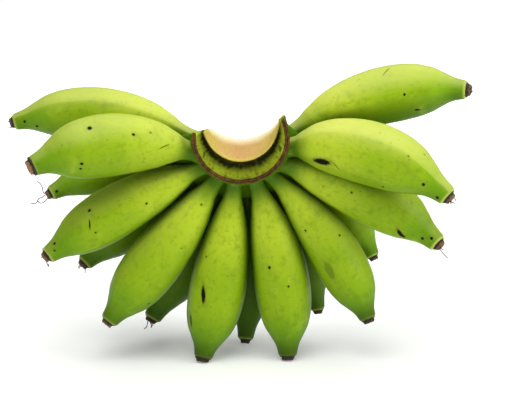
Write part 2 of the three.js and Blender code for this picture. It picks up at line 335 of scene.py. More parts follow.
def buildSkinTree():
    spec = skinShape
    bench, given = newTree("bananaGrower", {
        "Length": "Float", "Girth": "Float", "Bend": "Float", "Skew": "Float", "Roll": "Float",
        "Rounding": "Float", "Seed": "Float", "Skin": "Material"})
    add = bench.add
    sheet, share, round_, isOpen = sheetOf(bench, spec["stations"], spec["sides"])
    distance = share * (given["Length"] + spec["root"]) - spec["root"]
    share = (distance / given["Length"]).calc("MAXIMUM", 0)
    shift = 1 - given["Skew"]
    even = 2 * share / (shift + (shift * shift + 4 * given["Skew"] * share) ** 0.5)
    width = add("ShaderNodeFloatCurve", {"points": spec["outline"]}, {"Value": even})
    near = add("ShaderNodeClamp", None, {"Value": 1 - distance / spec["flareLength"]})
    width = width * (1 + near * near * spec["flare"])
    half = math.pi / spec["ridges"]
    angle = round_ * (2 * math.pi)
    fromRidge = angle.calc("PINGPONG", half)
    fromRidge = (fromRidge * fromRidge + given["Rounding"] * given["Rounding"]) ** 0.5
    sharp = spec["sharpness"]
    corner = sharp * math.cos(half) / (half - fromRidge).calc("COSINE") + (1 - sharp)
    radius = width * corner * given["Girth"] * 0.5 * isOpen * (1 + given["Rounding"] * spec["plump"])
    heading = angle + given["Roll"]
    side = radius * heading.calc("SINE")
    face = radius * heading.calc("COSINE")
    lumps = bench.cloud(bench.join(side, distance, face), spec["wobbleScale"], 1.5, given["Seed"])
    swell = 1 + (lumps - 0.5) * spec["wobble"]
    side = side * swell
    face = face * swell
    rate = given["Bend"] / given["Length"]
    bow = rate * distance
    reach = bow.calc("SINE") / rate - face * bow.calc("SINE")
    rise = (1 - bow.calc("COSINE")) / rate + face * bow.calc("COSINE")
    closeTree(bench, rollUp(bench, sheet, bench.join(side, reach, rise)), given["Skin"])
    return bench.tree


skinLook = {
    "shoulder": color(176, 198, 42),
    "belly": color(142, 174, 20),
    "end": color(108, 153, 12),
    # stalk and tip: partly their own deeper green, partly painted shade
    "stalk": color(68, 105, 7),
    "tip": color(58, 86, 8),
    # painted highlight, for the side that faces up and the rim at some tips
    "paintedHighlight": color(204, 206, 104),
    "pale": color(182, 202, 60),
    "deep": color(90, 134, 8),
    # painted shade, for fruits in shadow and where fruits touch
    "shade": color(58, 92, 6),
    "speck": color(52, 56, 12),
    # painted shade on the flanks and underside; freckles take this green too
    "flankShade": color(66, 108, 5),
    "grime": color(104, 122, 22),
    "mark": color(16, 11, 3),
    "fringe": color(112, 112, 26),
    "drift": 0.22,  # how uneven the borders between the tints are
    "bellyFade": (0.3, 0.62), "endFade": (0.7, 0.95), "stalkFade": (0.07, 0.22),
    "flankFront": (-0.85, -0.05), "flankUp": (-0.1, 0.5), "underFade": (-0.9, 0.1), "topHighlightFade": (0.05, 0.9),
    # clouds: scale, detail, seed, fade, strength, tint
    "wideClouds": [(55, 4, 1, (0.52, 0.78), 0.45, "deep"), (70, 4, 2, (0.55, 0.8), 0.4, "pale")],
    "fineClouds": [(260, 3, 4, (0.5, 0.75), 0.35, "deep"), (150, 5, 6, (0.52, 0.74), 0.4, "grime")],
    "streaks": (9, 130), "darkStreak": (0.52, 0.75), "darkShare": 0.22,
    "paleStreak": (0.55, 0.75), "paleShare": 0.16,
    "ridgeWidth": 0.07, "ridgeScale": 90, "ridgeFade": (0.4, 0.65),
    "contactShadeFade": (0.15, 0.95), "contactShadeShare": 0.75,
    "tipFade": (0.86, 0.985), "tipHighlightFade": (0.975, 0.99), "tipHighlightShare": 0.6,
    # dots: scale, size, share of them that is left out, strength
    "specks": (150, (0.05, 0.11), 0.72, 0.6), "freckles": (230, (0.06, 0.2), 0.7, 0.4),
    "raggedScale": 900, "ragged": 1.1, "fringeFade": (1, 1.9), "fringeShare": 0.45,
    "markFade": (0.75, 1.2), "markShare": 1.2,
    "roughness": 0.38, "roughScale": 120, "roughSpread": 0.2, "markRoughness": 0.3,
    "poreScale": 850, "pores": 0.35, "streakRelief": 0.5, "lumpScale": 240, "lumps": 0.6,
    "bump": (0.12, 0.4 * mm),
    "gloss": 0.1,
}
# marks on the skin: share along and round the fruit, millimetres round it there, the mark's length, width and
# turn, strength
skinMarks = {
    "front_1": [(0.663, 0.27, 141, 3.1, 3.1, 0, 0.95), (0.748, 0.084, 127, 2.5, 2.2, 0, 0.9),
                (0.758, 0.051, 126, 2, 2, 0, 0.8), (0.443, 0.207, 144, 2.3, 2.1, 0, 0.9),
                (0.346, 0.228, 128, 1.8, 1.8, 0, 0.45), (0.262, 0.15, 116, 8.5, 1, -31, 0.6)],
    "front_2": [(0.684, 0.042, 125, 2.5, 2.3, 0, 0.9), (0.723, 0.965, 124, 8, 1.2, -60, 0.8),
                (0.72, 0.902, 119, 1.7, 1.7, 0, 0.7), (0.397, 0.895, 112, 2.1, 2, 0, 0.8),
                (0.93, 0.041, 53, 2.3, 2.3, 0, 0.8), (0.952, 0.954, 48, 1.7, 1.7, 0, 0.7)],
    "front_3": [(0.2, 0.859, 67, 2, 1.8, 0, 0.55), (0.441, 0.81, 129, 1.7, 1.7, 0, 0.4),
                (0.789, 0.734, 119, 2, 2, 0, 0.6)],
    "front_4": [(0.655, 0.941, 139, 15.5, 3.4, -12, 0.9), (0.814, 0.015, 130, 10, 2, -4, 0.75),
                (0.45, 0.977, 129, 2, 1.8, 0, 0.5)],
    "front_5": [(0.494, 0.892, 128, 2.6, 2.3, 0, 0.85), (0.611, 0.8, 141, 2, 1.8, 0, 0.75)],
    "front_6": [(0.393, 0.877, 100, 1.8, 1.8, 0, 0.7), (0.521, 0.692, 117, 1.8, 1.8, 0, 0.75),
                (0.653, 0.877, 123, 16.4, 6.3, 5, 0.3)],
    "front_7": [(0.812, 0.958, 108, 11.4, 3.1, 42, 0.9), (0.446, 0.849, 139, 2, 1.8, 0, 0.7),
                (0.92, 0.906, 56, 2.3, 2.3, 0, 0.85), (0.957, 0.822, 51, 2.3, 2.3, 0, 0.85)],
    "front_8": [(0.267, 0.785, 111, 14.5, 4.4, -4, 0.95), (0.363, 0.792, 137, 7.6, 0.9, 38, 0.5),
                (0.658, 0.852, 143, 2.3, 2.2, 0, 0.9), (0.857, 0.722, 75, 2.3, 2.3, 0, 0.85),
                (0.956, 0.781, 51, 2.3, 2.3, 0, 0.85), (0.722, 0.607, 126, 1.6, 1.6, 0, 0.4),
                (0.776, 0.506, 108, 1.6, 1.6, 0, 0.4)],
    "back_1": [(0.935, 0.087, 48, 2.2, 2.2, 0, 0.85), (0.874, 0.018, 75, 2.2, 2.2, 0, 0.85)],
    "back_2": [(0.963, 0.964, 39, 2.2, 2.2, 0, 0.8), (0.56, 0.48, 118, 2.4, 2.2, 0, 0.8)],
    "back_3": [(0.946, 0.99, 51, 1.7, 1.7, 0, 0.6), (0.41, 0.44, 132, 8, 1.4, 24, 0.7)],
    "back_4": [(0.52, 0.46, 140, 9, 2.6, 14, 0.8), (0.34, 0.56, 120, 2.2, 2, 0, 0.8)],
    "back_5": [(0.62, 0.53, 125, 2.4, 2.2, 0, 0.85), (0.4, 0.44, 120, 6, 1.2, -30, 0.6)],
    "back_6": [(0.45, 0.5, 115, 3, 2.4, 0, 0.85), (0.7, 0.58, 108, 1.8, 1.8, 0, 0.7)],
    "back_7": [(0.6, 0.45, 112, 10, 2.4, -20, 0.8), (0.3, 0.55, 95, 2, 2, 0, 0.7)],
    "back_8": [(0.5, 0.52, 120, 2.6, 2.2, 0, 0.85), (0.66, 0.42, 112, 1.8, 1.8, 0, 0.7)],
    "back_9": [(0.687, 0.791, 137, 2.1, 2.1, 0, 0.9), (0.745, 0.908, 126, 5.4, 2, 21, 0.8),
               (0.61, 0.631, 141, 9, 0.9, -52, 0.5)],
}


def buildSkinMaterial(name, fruit, seed):
    spec = skinLook
    material, bench = newMaterial("skin_" + name)
    add, mix, step, cloud = bench.add, bench.mix, bench.step, bench.cloud
    chart = add("ShaderNodeUVMap", {"uv_map": "chart"})
    along, around = bench.split(chart)[:2]
    here = add("ShaderNodeTexCoord", None, None, 3)

    def clouded(tint, layers):
        for scale, detail, shift, fade, share, key in layers:
            tint = mix(step(cloud(here, scale, detail, seed + shift), *fade) * share, tint, spec[key])
        return tint

    def dotted(key, channel):  # dots of even size, some of them left out
        scale, size, chance, share = spec[key]
        dots = add("ShaderNodeTexVoronoi", None, {"Vector": here, "Scale": scale})
        luck = bench.split(dots.other("Color"))[channel]
        return (1 - step(dots, *size)) * luck.calc("GREATER_THAN", chance), share

    # lengthwise tints, with uneven borders: the shoulder is paler, partly its own yellower green and partly
    # painted highlight; the stalk is darker, partly its own deeper green and partly painted shade under the
    # crown
    drift = (cloud(here, 28, 3, seed) - 0.5) * spec["drift"]
    tint = mix(step(along + drift, *spec["bellyFade"]), spec["shoulder"], spec["belly"])
    tint = mix(step(along + drift, *spec["endFade"]), tint, spec["end"])
    tint = mix(1 - step(along + drift * 0.5, *spec["stalkFade"]), tint, spec["stalk"])
    # painted shade: the flanks and the underside are darkened, as the light falls from above and in front
    inFront, facing = bench.split(add("ShaderNodeTexCoord", None, None, 1))[1:]
    flankShade = step(inFront, *spec["flankFront"]) * (1 - step(facing, *spec["flankUp"]))
    tint = mix(flankShade * fruit["flankShade"], tint, spec["flankShade"])
    tint = mix((1 - step(facing, *spec["underFade"])) * fruit["under"], tint, spec["flankShade"])
    # clouds, and fine streaks along the fruit
    tint = clouded(tint, spec["wideClouds"])
    alongScale, roundScale = spec["streaks"]
    streak = cloud(bench.join(along * alongScale, around * roundScale, seed), 1, 3, seed)
    tint = mix(step(streak, *spec["darkStreak"]) * spec["darkShare"], tint, spec["deep"])
    tint = mix(step(1 - streak, *spec["paleStreak"]) * spec["paleShare"], tint, spec["pale"])
    # the five ridges rub paler
    fromRidge = (around * skinShape["ridges"]).calc("PINGPONG", 0.5)
    rubbed = step(cloud(here, spec["ridgeScale"], 3, seed), *spec["ridgeFade"]) * fruit["rub"]
    tint = mix((1 - step(fromRidge, 0, spec["ridgeWidth"])) * rubbed, tint, spec["pale"])
    tint = clouded(tint, spec["fineClouds"])
    # painted highlight: the side that faces up is paler, where the light from above falls on it
    tint = mix(step(facing + drift * 1.5, *spec["topHighlightFade"]) * fruit["topHighlight"], tint, spec["paintedHighlight"])
    # painted shade where another fruit is close, darkest where they touch
    close = add("ShaderNodeAttribute", {"attribute_name": "close"}, None, 2)
    tint = mix(step(close + drift * 0.5, *spec["contactShadeFade"]) * spec["contactShadeShare"], tint, spec["shade"])
    # painted shade: fruits in the shadow of the others are darkened all over; the tip darkens, partly its own
    # deeper green and partly painted shade, or ends in a rim of painted highlight
    tint = mix(fruit["shade"], tint, spec["shade"])
    tint = mix(step(along + drift * 0.12, *spec["tipFade"]) * fruit["darkTip"], tint, spec["tip"])
    tipHighlightShare = spec["tipHighlightShare"] * (1 - fruit["darkTip"])
    tint = mix(step(along, *spec["tipHighlightFade"]) * tipHighlightShare, tint, spec["paintedHighlight"])
    # scattered specks
    specks, share = dotted("specks", 0)
    tint = mix(specks * share, tint, spec["speck"])
    freckles, share = dotted("freckles", 1)
    # freckles take the flank-shade green as their own colour
    tint = mix(freckles * share, tint, spec["flankShade"])
    # bruises and scratches
    ragged = (cloud(here, spec["raggedScale"], 3, seed) - 0.5) * spec["ragged"]
    for atLength, atRound, girth, long, wide, turn, strength in skinMarks.get(name, []):
        onSkin = bench.vector("MULTIPLY", chart, (fruit["length"], girth, 0))
        spot = add("ShaderNodeMapping", {"vector_type": "TEXTURE"}, {
            "Vector": onSkin, "Location": (atLength * fruit["length"], atRound * girth, 0),
            "Rotation": (0, 0, math.radians(turn)), "Scale": (long / 2, wide / 2, 1)})
        reach = add("ShaderNodeVectorMath", {"operation": "LENGTH"}, {0: spot}, 1) + ragged
        fringe = (1 - step(reach, *spec["fringeFade"])) * (strength * spec["fringeShare"])
        tint = mix(fringe, tint, spec["fringe"])
        bruise = (1 - step(reach, *spec["markFade"])) * min(1, strength * spec["markShare"])
        tint = mix(bruise, tint, spec["mark"])
        specks = specks + bruise
    patches = (cloud(here, spec["roughScale"], 3, seed) - 0.5) * spec["roughSpread"]
    rough = spec["roughness"] + patches + specks * spec["markRoughness"]
    pores = add("ShaderNodeTexVoronoi", None, {"Vector": here, "Scale": spec["poreScale"]})
    relief = pores * spec["pores"] + streak * spec["streakRelief"]
    relief = relief + cloud(here, spec["lumpScale"], 3, seed) * spec["lumps"] - specks
    closeMaterial(bench, spec, tint, rough, relief)
    return material


# fruits that touch are pressed flat against each other, the later one yielding
# shade is how far the painted shade of a neighbouring fruit reaches; sideways and facing set how strongly it
# falls
pressing = {"softness": 0.9 * mm, "reach": 9 * mm, "shade": 17 * mm, "sideways": 0.55, "facing": 0.6}


def pressAgainst(mesh, others):
    soft = pressing["softness"]
    for tree, low, high in others:
        for vertex in mesh.vertices:
            spot = vertex.co
            if not all(low[axis] < spot[axis] < high[axis] for axis in range(3)):
                continue
            near, normal, face, distance = tree.find_nearest(spot, pressing["reach"])
            if near is None:
                continue
            depth = distance if (spot - near).dot(normal) > 0 else -distance
            if depth < soft:
                vertex.co = near + normal * soft * math.exp((depth - soft) / soft)


def noteContactShade(mesh, others):  # how much painted shade a point gets: 1 where it touches another fruit, 0 far from them
    reach = pressing["shade"]
    close = []
    for vertex in mesh.vertices:
        most = 0
        for tree, low, high in others:
            if not all(low[axis] - reach < vertex.co[axis] < high[axis] + reach for axis in range(3)):
                continue
            near, normal, face, distance = tree.find_nearest(vertex.co, reach)
            if near is not None:
                facing = (near - vertex.co).normalized().dot(vertex.normal)
                shut = min(1, pressing["sideways"] + pressing["facing"] * facing)
                most = max(most, (1 - distance / reach) * shut)
        close.append(most)
    mesh.attributes.new("close", "FLOAT", "POINT").data.foreach_set("value", close)


skinTree = buildSkinTree()
fruits = []
grown = []
for number, (name, fruit) in enumerate(bananas.items()):
    piece = grow("fruit_" + name, skinTree, {
        "Length": fruit["length"] * mm, "Girth": fruit["girth"] * mm, "Bend": math.radians(fruit["bend"]),
        "Skew": fruit["skew"], "Roll": math.radians(fruit["roll"]), "Seed": number * 3.7,
        "Rounding": math.radians(fruit["rounding"]),
        "Skin": buildSkinMaterial(name, fruit, number * 5.3)}, fruit["place"])
    pressAgainst(piece.data, grown)
    corners = [vertex.co for vertex in piece.data.vertices]
    low = [min(corner[axis] for corner in corners) - mm for axis in range(3)]
    high = [max(corner[axis] for corner in corners) + mm for axis in range(3)]
    tree = BVHTree.FromPolygons(corners, [face.vertices for face in piece.data.polygons])
    grown.append((tree, low, high))
    fruits.append(piece)
for number, (name, piece) in enumerate(zip(bananas, fruits)):
    noteContactShade(piece.data, grown[:number] + grown[number + 1:])
    keep(piece, "skin", "banana_" + name)
print("fruits grown")

# crown: a collar turned about the stalk and scooped by the cut
crownShape = {
    # distances from the stalk and depths behind the front, in millimetres
    "outline": [(20.5, 1), (24, 5), (29, 4), (33, 1.5), (34, 0), (37.5, 1.5), (40.5, 5), (42, 13), (52, 17),
                (58, 20), (52, 24), (42, 27), (40, 33), (33, 39), (24, 42)],
    "core": 0.5, "rim": 34, "lip": 26, "lipRise": 9, "lipForward": 4, "depth": 42, "sides": 144,
    "base": 35, "fadeStart": 68, "fadeEnd": 98,
    "cutFloor": 16.5, "cutFront": 26, "cutBack": 37, "overrun": 8,
    "hornSlope": 17, "hornLeft": 3, "hornRight": 17, "blockSize": 300,
    "voxel": 0.75 * mm, "smoothing": 5,
    "lumps": ((0.12, 0.5), (0.5, 0.15)),  # scale and height
    "fibres": 0.22, "fibreScale": (1.3, 0.18, 1.3), "fibreReach": 0.8,
    "flutes": 0.56, "fluteScale": (16, 0.08), "coveDepth": 8,
}


def lipAt(angle):
    across = crownShape["lipRise"] * math.sin(angle)
    return math.sqrt(crownShape["lip"] ** 2 - across ** 2) - crownShape["lipRise"] * math.cos(angle)


def cutRadius(depth):  # the scoop widens towards the back
    spec = crownShape
    flare = (spec["cutBack"] - spec["cutFront"]) / (spec["depth"] + 2 * spec["overrun"])
    return spec["cutFront"] + flare * (depth + spec["overrun"])


def cutDepth(spot):  # how far a point in the fan's frame lies outside the scooped cut, in millimetres
    radius = cutRadius(spot.y)
    return math.hypot(spot.x, spot.z - radius + crownShape["cutFloor"]) - radius


def turned(name, rings, sides):  # a closed mesh from rings of points
    shape = bmesh.new()
    loops = [[shape.verts.new(corner) for corner in ring] for ring in rings]
    for first, second in zip(loops, loops[1:]):
        for side in range(sides):
            after = (side + 1) % sides
            shape.faces.new((first[side], first[after], second[after], second[side]))
    shape.faces.new(loops[0])
    shape.faces.new(loops[-1])
    bmesh.ops.recalc_face_normals(shape, faces=shape.faces)
    mesh = bpy.data.meshes.new(name)
    shape.to_mesh(mesh)
    shape.free()
    return newPiece(name, mesh)


def buildCrown(material):
    spec = crownShape
    sides = spec["sides"]
    rim, base, front = spec["rim"], spec["base"], -spec["lipForward"]
    turns = [2 * math.pi * side / sides for side in range(sides)]
    profile = [(spec["core"], front), (lipAt(0), front), *spec["outline"], (spec["core"], spec["depth"])]
    rings = []
    for radius, depth in profile:
        ring = []
        for angle in turns:
            here = radius
            if radius > base:  # the swelling under the stalks fades towards the horns
                turn = abs((math.degrees(angle) + 180) % 360 - 180)
                share = (turn - spec["fadeStart"]) / (spec["fadeEnd"] - spec["fadeStart"])
                share = min(max(share, 0), 1)
                here = radius - (radius - base) * share * share * (3 - 2 * share)
            elif depth < spec["depth"] / 2 and lipAt(0) <= radius < rim:
                here = rim - (rim - radius) * (rim - lipAt(angle)) / (rim - lipAt(0))
            ring.append((here * math.sin(angle), depth, -here * math.cos(angle)))
        rings.append(ring)
    crown = turned("crownBody", rings, sides)
    # the scoop, and all that lay above the two horns
    rings = []
    for depth in (-spec["overrun"], spec["depth"] + spec["overrun"]):
        radius = cutRadius(depth)
        middle = radius - spec["cutFloor"]
        rings.append([(radius * math.sin(turn), depth, middle - radius * math.cos(turn)) for turn in turns])
    scoop = turned("crownScoop", rings, sides)
    size = spec["blockSize"]
    square = ((-size, -size), (size, -size), (size, size), (-size, size))
    block = turned("crownAbove", [[(*corner, level) for corner in square] for level in (0, size)], len(square))
    left, right = spec["hornLeft"], spec["hornRight"]
    block.data.transform(Matrix.Translation((0, 0, (left + right) / 2))
                         @ Matrix.Rotation(-math.atan2(right - left, 2 * base), 4, "Y")
                         @ Matrix.Rotation(-math.radians(spec["hornSlope"]), 4, "X"))
    for cutter in (scoop, block):
        cut = crown.modifiers.new("cut", "BOOLEAN")
        cut.operation = "DIFFERENCE"
        cut.solver = "EXACT"
        cut.object = cutter
    settle(crown)
    for cutter in (scoop, block):
        bpy.data.objects.remove(cutter)
    crown.data.transform(Matrix.Scale(mm, 4))
    remesh = crown.modifiers.new("even", "REMESH")
    remesh.mode = "VOXEL"
    remesh.voxel_size = spec["voxel"]
    smooth = crown.modifiers.new("soft", "SMOOTH")
    smooth.iterations = spec["smoothing"]
    mesh = settle(crown)
    # flutes round the cove and fibres along the cut
    roundScale, outScale = spec["fluteScale"]
    moves = []
    for vertex in mesh.vertices:
        spot = vertex.co / mm
        angle = math.atan2(spot.x, -spot.z)
        radius = math.hypot(spot.x, spot.z)
        depth = sum(noise.noise(spot * scale) * height for scale, height in spec["lumps"])
        if cutDepth(spot) < spec["fibreReach"]:
            depth += spec["fibres"] * noise.noise(spot * Vector(spec["fibreScale"]))
        elif spot.y < spec["coveDepth"] and radius < rim:
            depth += spec["flutes"] * noise.noise((angle * roundScale, radius * outScale, 3))
        moves.append(vertex.co + vertex.normal * depth * mm)
    for vertex, move in zip(mesh.vertices, moves):
        vertex.co = move
    mesh.transform(toFloor)
    mesh.materials.clear()
    mesh.materials.append(material)
    for face in mesh.polygons:
        face.use_smooth = True
    return crown


crownLook = {
    "cream": color(192, 162, 96),
    "pink": color(188, 146, 92),
    "edge": color(192, 178, 74),
    "bundle": color(146, 110, 58),
    # painted highlight at the back of the cut
    "paintedGlare": color(242, 234, 196),
    # painted shadow under the lip
    "underLip": color(30, 26, 3),
    "band": color(170, 186, 42),
    "flute": color(62, 74, 6),
    # partly the crown's own deeper green, partly painted shade below the scar
    "outside": color(72, 107, 9),
    "cutFade": (0.5, 1.5), "fibreScale": (1.4, 0.15, 1.4),
    "pinkAt": 1, "pinkReach": 16, "pinkShare": 0.8,
    "bundleFade": (0.5, 0.75), "bundleShare": 0.5,
    "grainScale": 620, "grainFade": (0.1, 0.4), "grainShare": 0.45,
    "edgeFade": (-3, 3), "edgeShare": 0.8, "sideFade": (13, 26), "sideShare": 0.6,
    "glareFade": (22, 46), "glareShare": 0.95,
    "fluteScale": (9, 2.4), "lipShadowFade": (0.46, 0.82), "fluteFade": (0.48, 0.68), "fluteShare": 0.6,
    "spotFade": (0.52, 0.7), "outFade": (33.6, 34.6), "patchFade": (0.55, 0.75), "patchShare": 0.4,
    "roughness": 0.55, "cutRoughness": 0.2, "bump": (0.4, 0.5 * mm),
    "gloss": 0.05,
}


def buildCrownMaterial():
    spec = crownLook
    size = crownShape
    material, bench = newMaterial("crownTissue")
    add, mix, step, cloud = bench.add, bench.mix, bench.step, bench.cloud
    here = add("ShaderNodeTexCoord", None, None, 3)
    inFan = add("ShaderNodeMapping", {"vector_type": "TEXTURE"}, {
        "Vector": here, "Location": hand["middle"], "Rotation": Quaternion(hand["lean"]).to_euler()})
    inFan = bench.vector("MULTIPLY", inFan, (1 / mm, 1 / mm, 1 / mm))
    x, y, z = bench.split(inFan)
    radius = (x * x + z * z) ** 0.5
    angle = x.calc("ARCTAN2", 0 - z)
    bowl = cutRadius(y)
    low = z - bowl + size["cutFloor"]
    outside = (x * x + low * low) ** 0.5 - bowl
    cut = 1 - step(outside + (cloud(here, 600, 2) - 0.5) * 0.8, *spec["cutFade"])
    # cut face: cream with a pink middle, a yellow edge and brownish bundles, and a painted highlight towards
    # the back
    fibre = cloud(bench.vector("MULTIPLY", inFan, spec["fibreScale"]), 1, 3)
    uneven = fibre - 0.5
    wander = (cloud(here, 90) - 0.5) * spec["pinkReach"]
    pink = bench.hump(x + wander, spec["pinkAt"], spec["pinkReach"])
    face = mix(pink * spec["pinkShare"], spec["cream"], spec["pink"])
    face = mix(step(fibre, *spec["bundleFade"]) * spec["bundleShare"], face, spec["bundle"])
    face = mix(step(cloud(here, 130, 3), 0.5, 0.75) * 0.35, face, spec["cream"])
    face = mix((1 - step(y + uneven * 5, *spec["edgeFade"])) * spec["edgeShare"], face, spec["edge"])
    toSide = x.calc("ABSOLUTE") + uneven * 8
    face = mix(step(toSide, *spec["sideFade"]) * spec["sideShare"], face, spec["edge"])
    grain = add("ShaderNodeTexVoronoi", None, {"Vector": here, "Scale": spec["grainScale"]})
    face = mix((1 - step(grain, *spec["grainFade"])) * spec["grainShare"], face, spec["bundle"])
    # painted highlight: the back of the cut fades to near white where the light from above strikes it
    face = mix(step(y + uneven * 8, *spec["glareFade"]) * spec["glareShare"], face, spec["paintedGlare"])
    # cove: a painted shadow under the lip, a fluted green band below
    across = size["lipRise"] * angle.calc("SINE")
    lip = (size["lip"] ** 2 - across * across) ** 0.5 - size["lipRise"] * angle.calc("COSINE")
    share = (radius - lip) / (size["rim"] - lip)
    roundScale, outScale = spec["fluteScale"]
    flute = cloud(bench.join(angle * roundScale, share * outScale, 0.0), 1, 4)
    ripple = flute - 0.5
    cove = mix(step(share + ripple * 0.45, *spec["lipShadowFade"]), spec["underLip"], spec["band"])
    cove = mix(step(flute, *spec["fluteFade"]) * spec["fluteShare"], cove, spec["flute"])
    cove = mix(step(cloud(here, 420, 3), *spec["spotFade"]) * spec["patchShare"], cove, spec["flute"])
    # the crown's outside is a deeper green, partly its own and partly painted shade below the scar
    rest = mix(step(radius + ripple, *spec["outFade"]), cove, spec["outside"])
    rest = mix(step(cloud(here, 160, 4), *spec["patchFade"]) * spec["patchShare"], rest, spec["flute"])
    tint = mix(cut, rest, face)
    relief = fibre * cut + flute * (1 - cut) + cloud(here, 700, 3) * 0.4
    rough = spec["roughness"] + cut * spec["cutRoughness"] + ripple * 0.15
    closeMaterial(bench, spec, tint, rough, relief)
    return material


crown = buildCrown(buildCrownMaterial())
crown.name = "crown_cut"
keep(crown, "crown", "crown")
print("crown cut")

# bract scar: a corky double ridge round the front of the crown
scarShape = {"radius": 35 * mm, "halfWidth": 1.7 * mm, "forward": 1 * mm, "start": -98, "end": 117,
             "groove": 0.42, "grooveAt": 0.75, "grooveReach": 0.13, "crumble": 0.4, "crumbleScale": 420,
             "wave": 1.6 * mm, "waveScale": 90, "stations": 260, "sides": 24}
scarLook = {"cork": color(84, 54, 24), "ridge": color(122, 86, 44), "crack": color(34, 20, 6),
            "ridgeFade": (0.4, 0.65), "crackReach": 0.07, "crackShare": 0.9,
            "flakeScale": 700, "flakeEdge": (0.02, 0.12), "flakeShare": 0.7,
            "roughness": 0.75, "bump": (0.5, 0.4 * mm), "gloss": 0.15}


def buildScarTree():
    spec = scarShape
    bench, given = newTree("scarRidge", {"Radius": "Float", "HalfWidth": "Float", "Cork": "Material"})
    sheet, share, round_, isOpen = sheetOf(bench, spec["stations"], spec["sides"])
    angle = math.radians(spec["start"]) + share * math.radians(spec["end"] - spec["start"])
    turn = round_ * (2 * math.pi)
    dip = bench.hump(round_, spec["grooveAt"], spec["grooveReach"]) * spec["groove"]
    ends = bench.step(share, -0.004, 0.012) * (1 - bench.step(share, 0.985, 1.006))
    width = given["HalfWidth"] * (1 - dip) * isOpen * (0.5 + ends * 0.5)
    arc = angle * given["Radius"]
    rough = bench.cloud(bench.join(arc, turn * mm, 0.0), spec["crumbleScale"], 3) - 0.5
    wave = bench.cloud(bench.join(arc, 0.0, 0.0), spec["waveScale"], 2, 4.0) - 0.5
    width = width * (1 + rough * spec["crumble"] + wave * 0.4)
    out = given["Radius"] + turn.calc("COSINE") * width + wave * spec["wave"]
    deep = turn.calc("SINE") * width - spec["forward"]
    place = bench.join(out * angle.calc("SINE"), deep, 0 - out * angle.calc("COSINE"))
    closeTree(bench, rollUp(bench, sheet, place), given["Cork"])
    return bench.tree


def buildScarMaterial():
    spec = scarLook
    material, bench = newMaterial("scarCork")
    add, mix, step, cloud = bench.add, bench.mix, bench.step, bench.cloud
    around = bench.split(add("ShaderNodeUVMap", {"uv_map": "chart"}))[1]
    here = add("ShaderNodeTexCoord", None, None, 3)
    tint = mix(step(cloud(here, 260, 4), *spec["ridgeFade"]), spec["cork"], spec["ridge"])
    crooked = around + (cloud(here, 300) - 0.5) * 0.08
    crack = bench.hump(crooked, scarShape["grooveAt"], spec["crackReach"])
    tint = mix(crack * spec["crackShare"], tint, spec["crack"])
    flakes = add("ShaderNodeTexVoronoi", {"feature": "DISTANCE_TO_EDGE"},
                 {"Vector": here, "Scale": spec["flakeScale"]})
    tint = mix((1 - step(flakes, *spec["flakeEdge"])) * spec["flakeShare"], tint, spec["crack"])
    rough = spec["roughness"] + (cloud(here, 400, 3) - 0.5) * 0.3
    closeMaterial(bench, spec, tint, rough, flakes + cloud(here, 500, 4))
    return material


scar = grow("scar_ridge", buildScarTree(), {
    "Radius": scarShape["radius"], "HalfWidth": scarShape["halfWidth"], "Cork": buildScarMaterial()}, toFloor)
keep(scar, "scar", "bract_scar")
print("scar laid")

# flower ends: a dry cap on each tip, some with threads left on
capShape = {
    "rim": [(0, 1), (0.12, 1.02), (0.24, 0.9), (0.34, 0.8), (0.5, 0.74), (0.66, 0.6), (0.8, 0.4), (0.9, 0.22),
            (1, 0)],
    "rise": [(0, 0), (0.12, 0.24), (0.24, 0.32), (0.34, 0.48), (0.5, 0.8), (0.66, 1), (0.8, 0.9), (0.9, 0.86),
             (1, 0.96)],
    "share": 0.272,
    "height": 4.2 * mm,
    "sunk": 0.9 * mm,
    "jag": 3.2 * mm,
    "jagAt": 0.42,
    "jagReach": 0.4,
    "ragged": 0.4,
    "stations": 36,
    "sides": 48,
    "threadWidth": 0.34 * mm,
    "threadPoints": 18,
    "threadRise": 1.5 * mm,
    "threadTurn": (0.8, 3, 0.8),
    "threadLengths": (0.45, 1.0),
    "threadBow": 3.2,
    "threadScale": 110,
    "threadTaper": 0.6,
}
capLook = {
    "rim": color(34, 26, 9),
    "disc": color(40, 31, 12),
    "dryDisc": color(156, 116, 74),
    "base": color(70, 62, 20),
    "thread": color(42, 36, 20),
    "baseFade": (0.05, 0.22), "discFade": (0.34, 0.5), "discShare": 0.95,
    "fleckScale": 900, "fleckFade": (0.5, 0.7), "fleckShare": 0.6, "threadFade": (0.0, 0.004),
    "patchScale": 380, "roughness": 0.8, "bump": (0.6, 0.5 * mm), "gloss": 0.5,
}


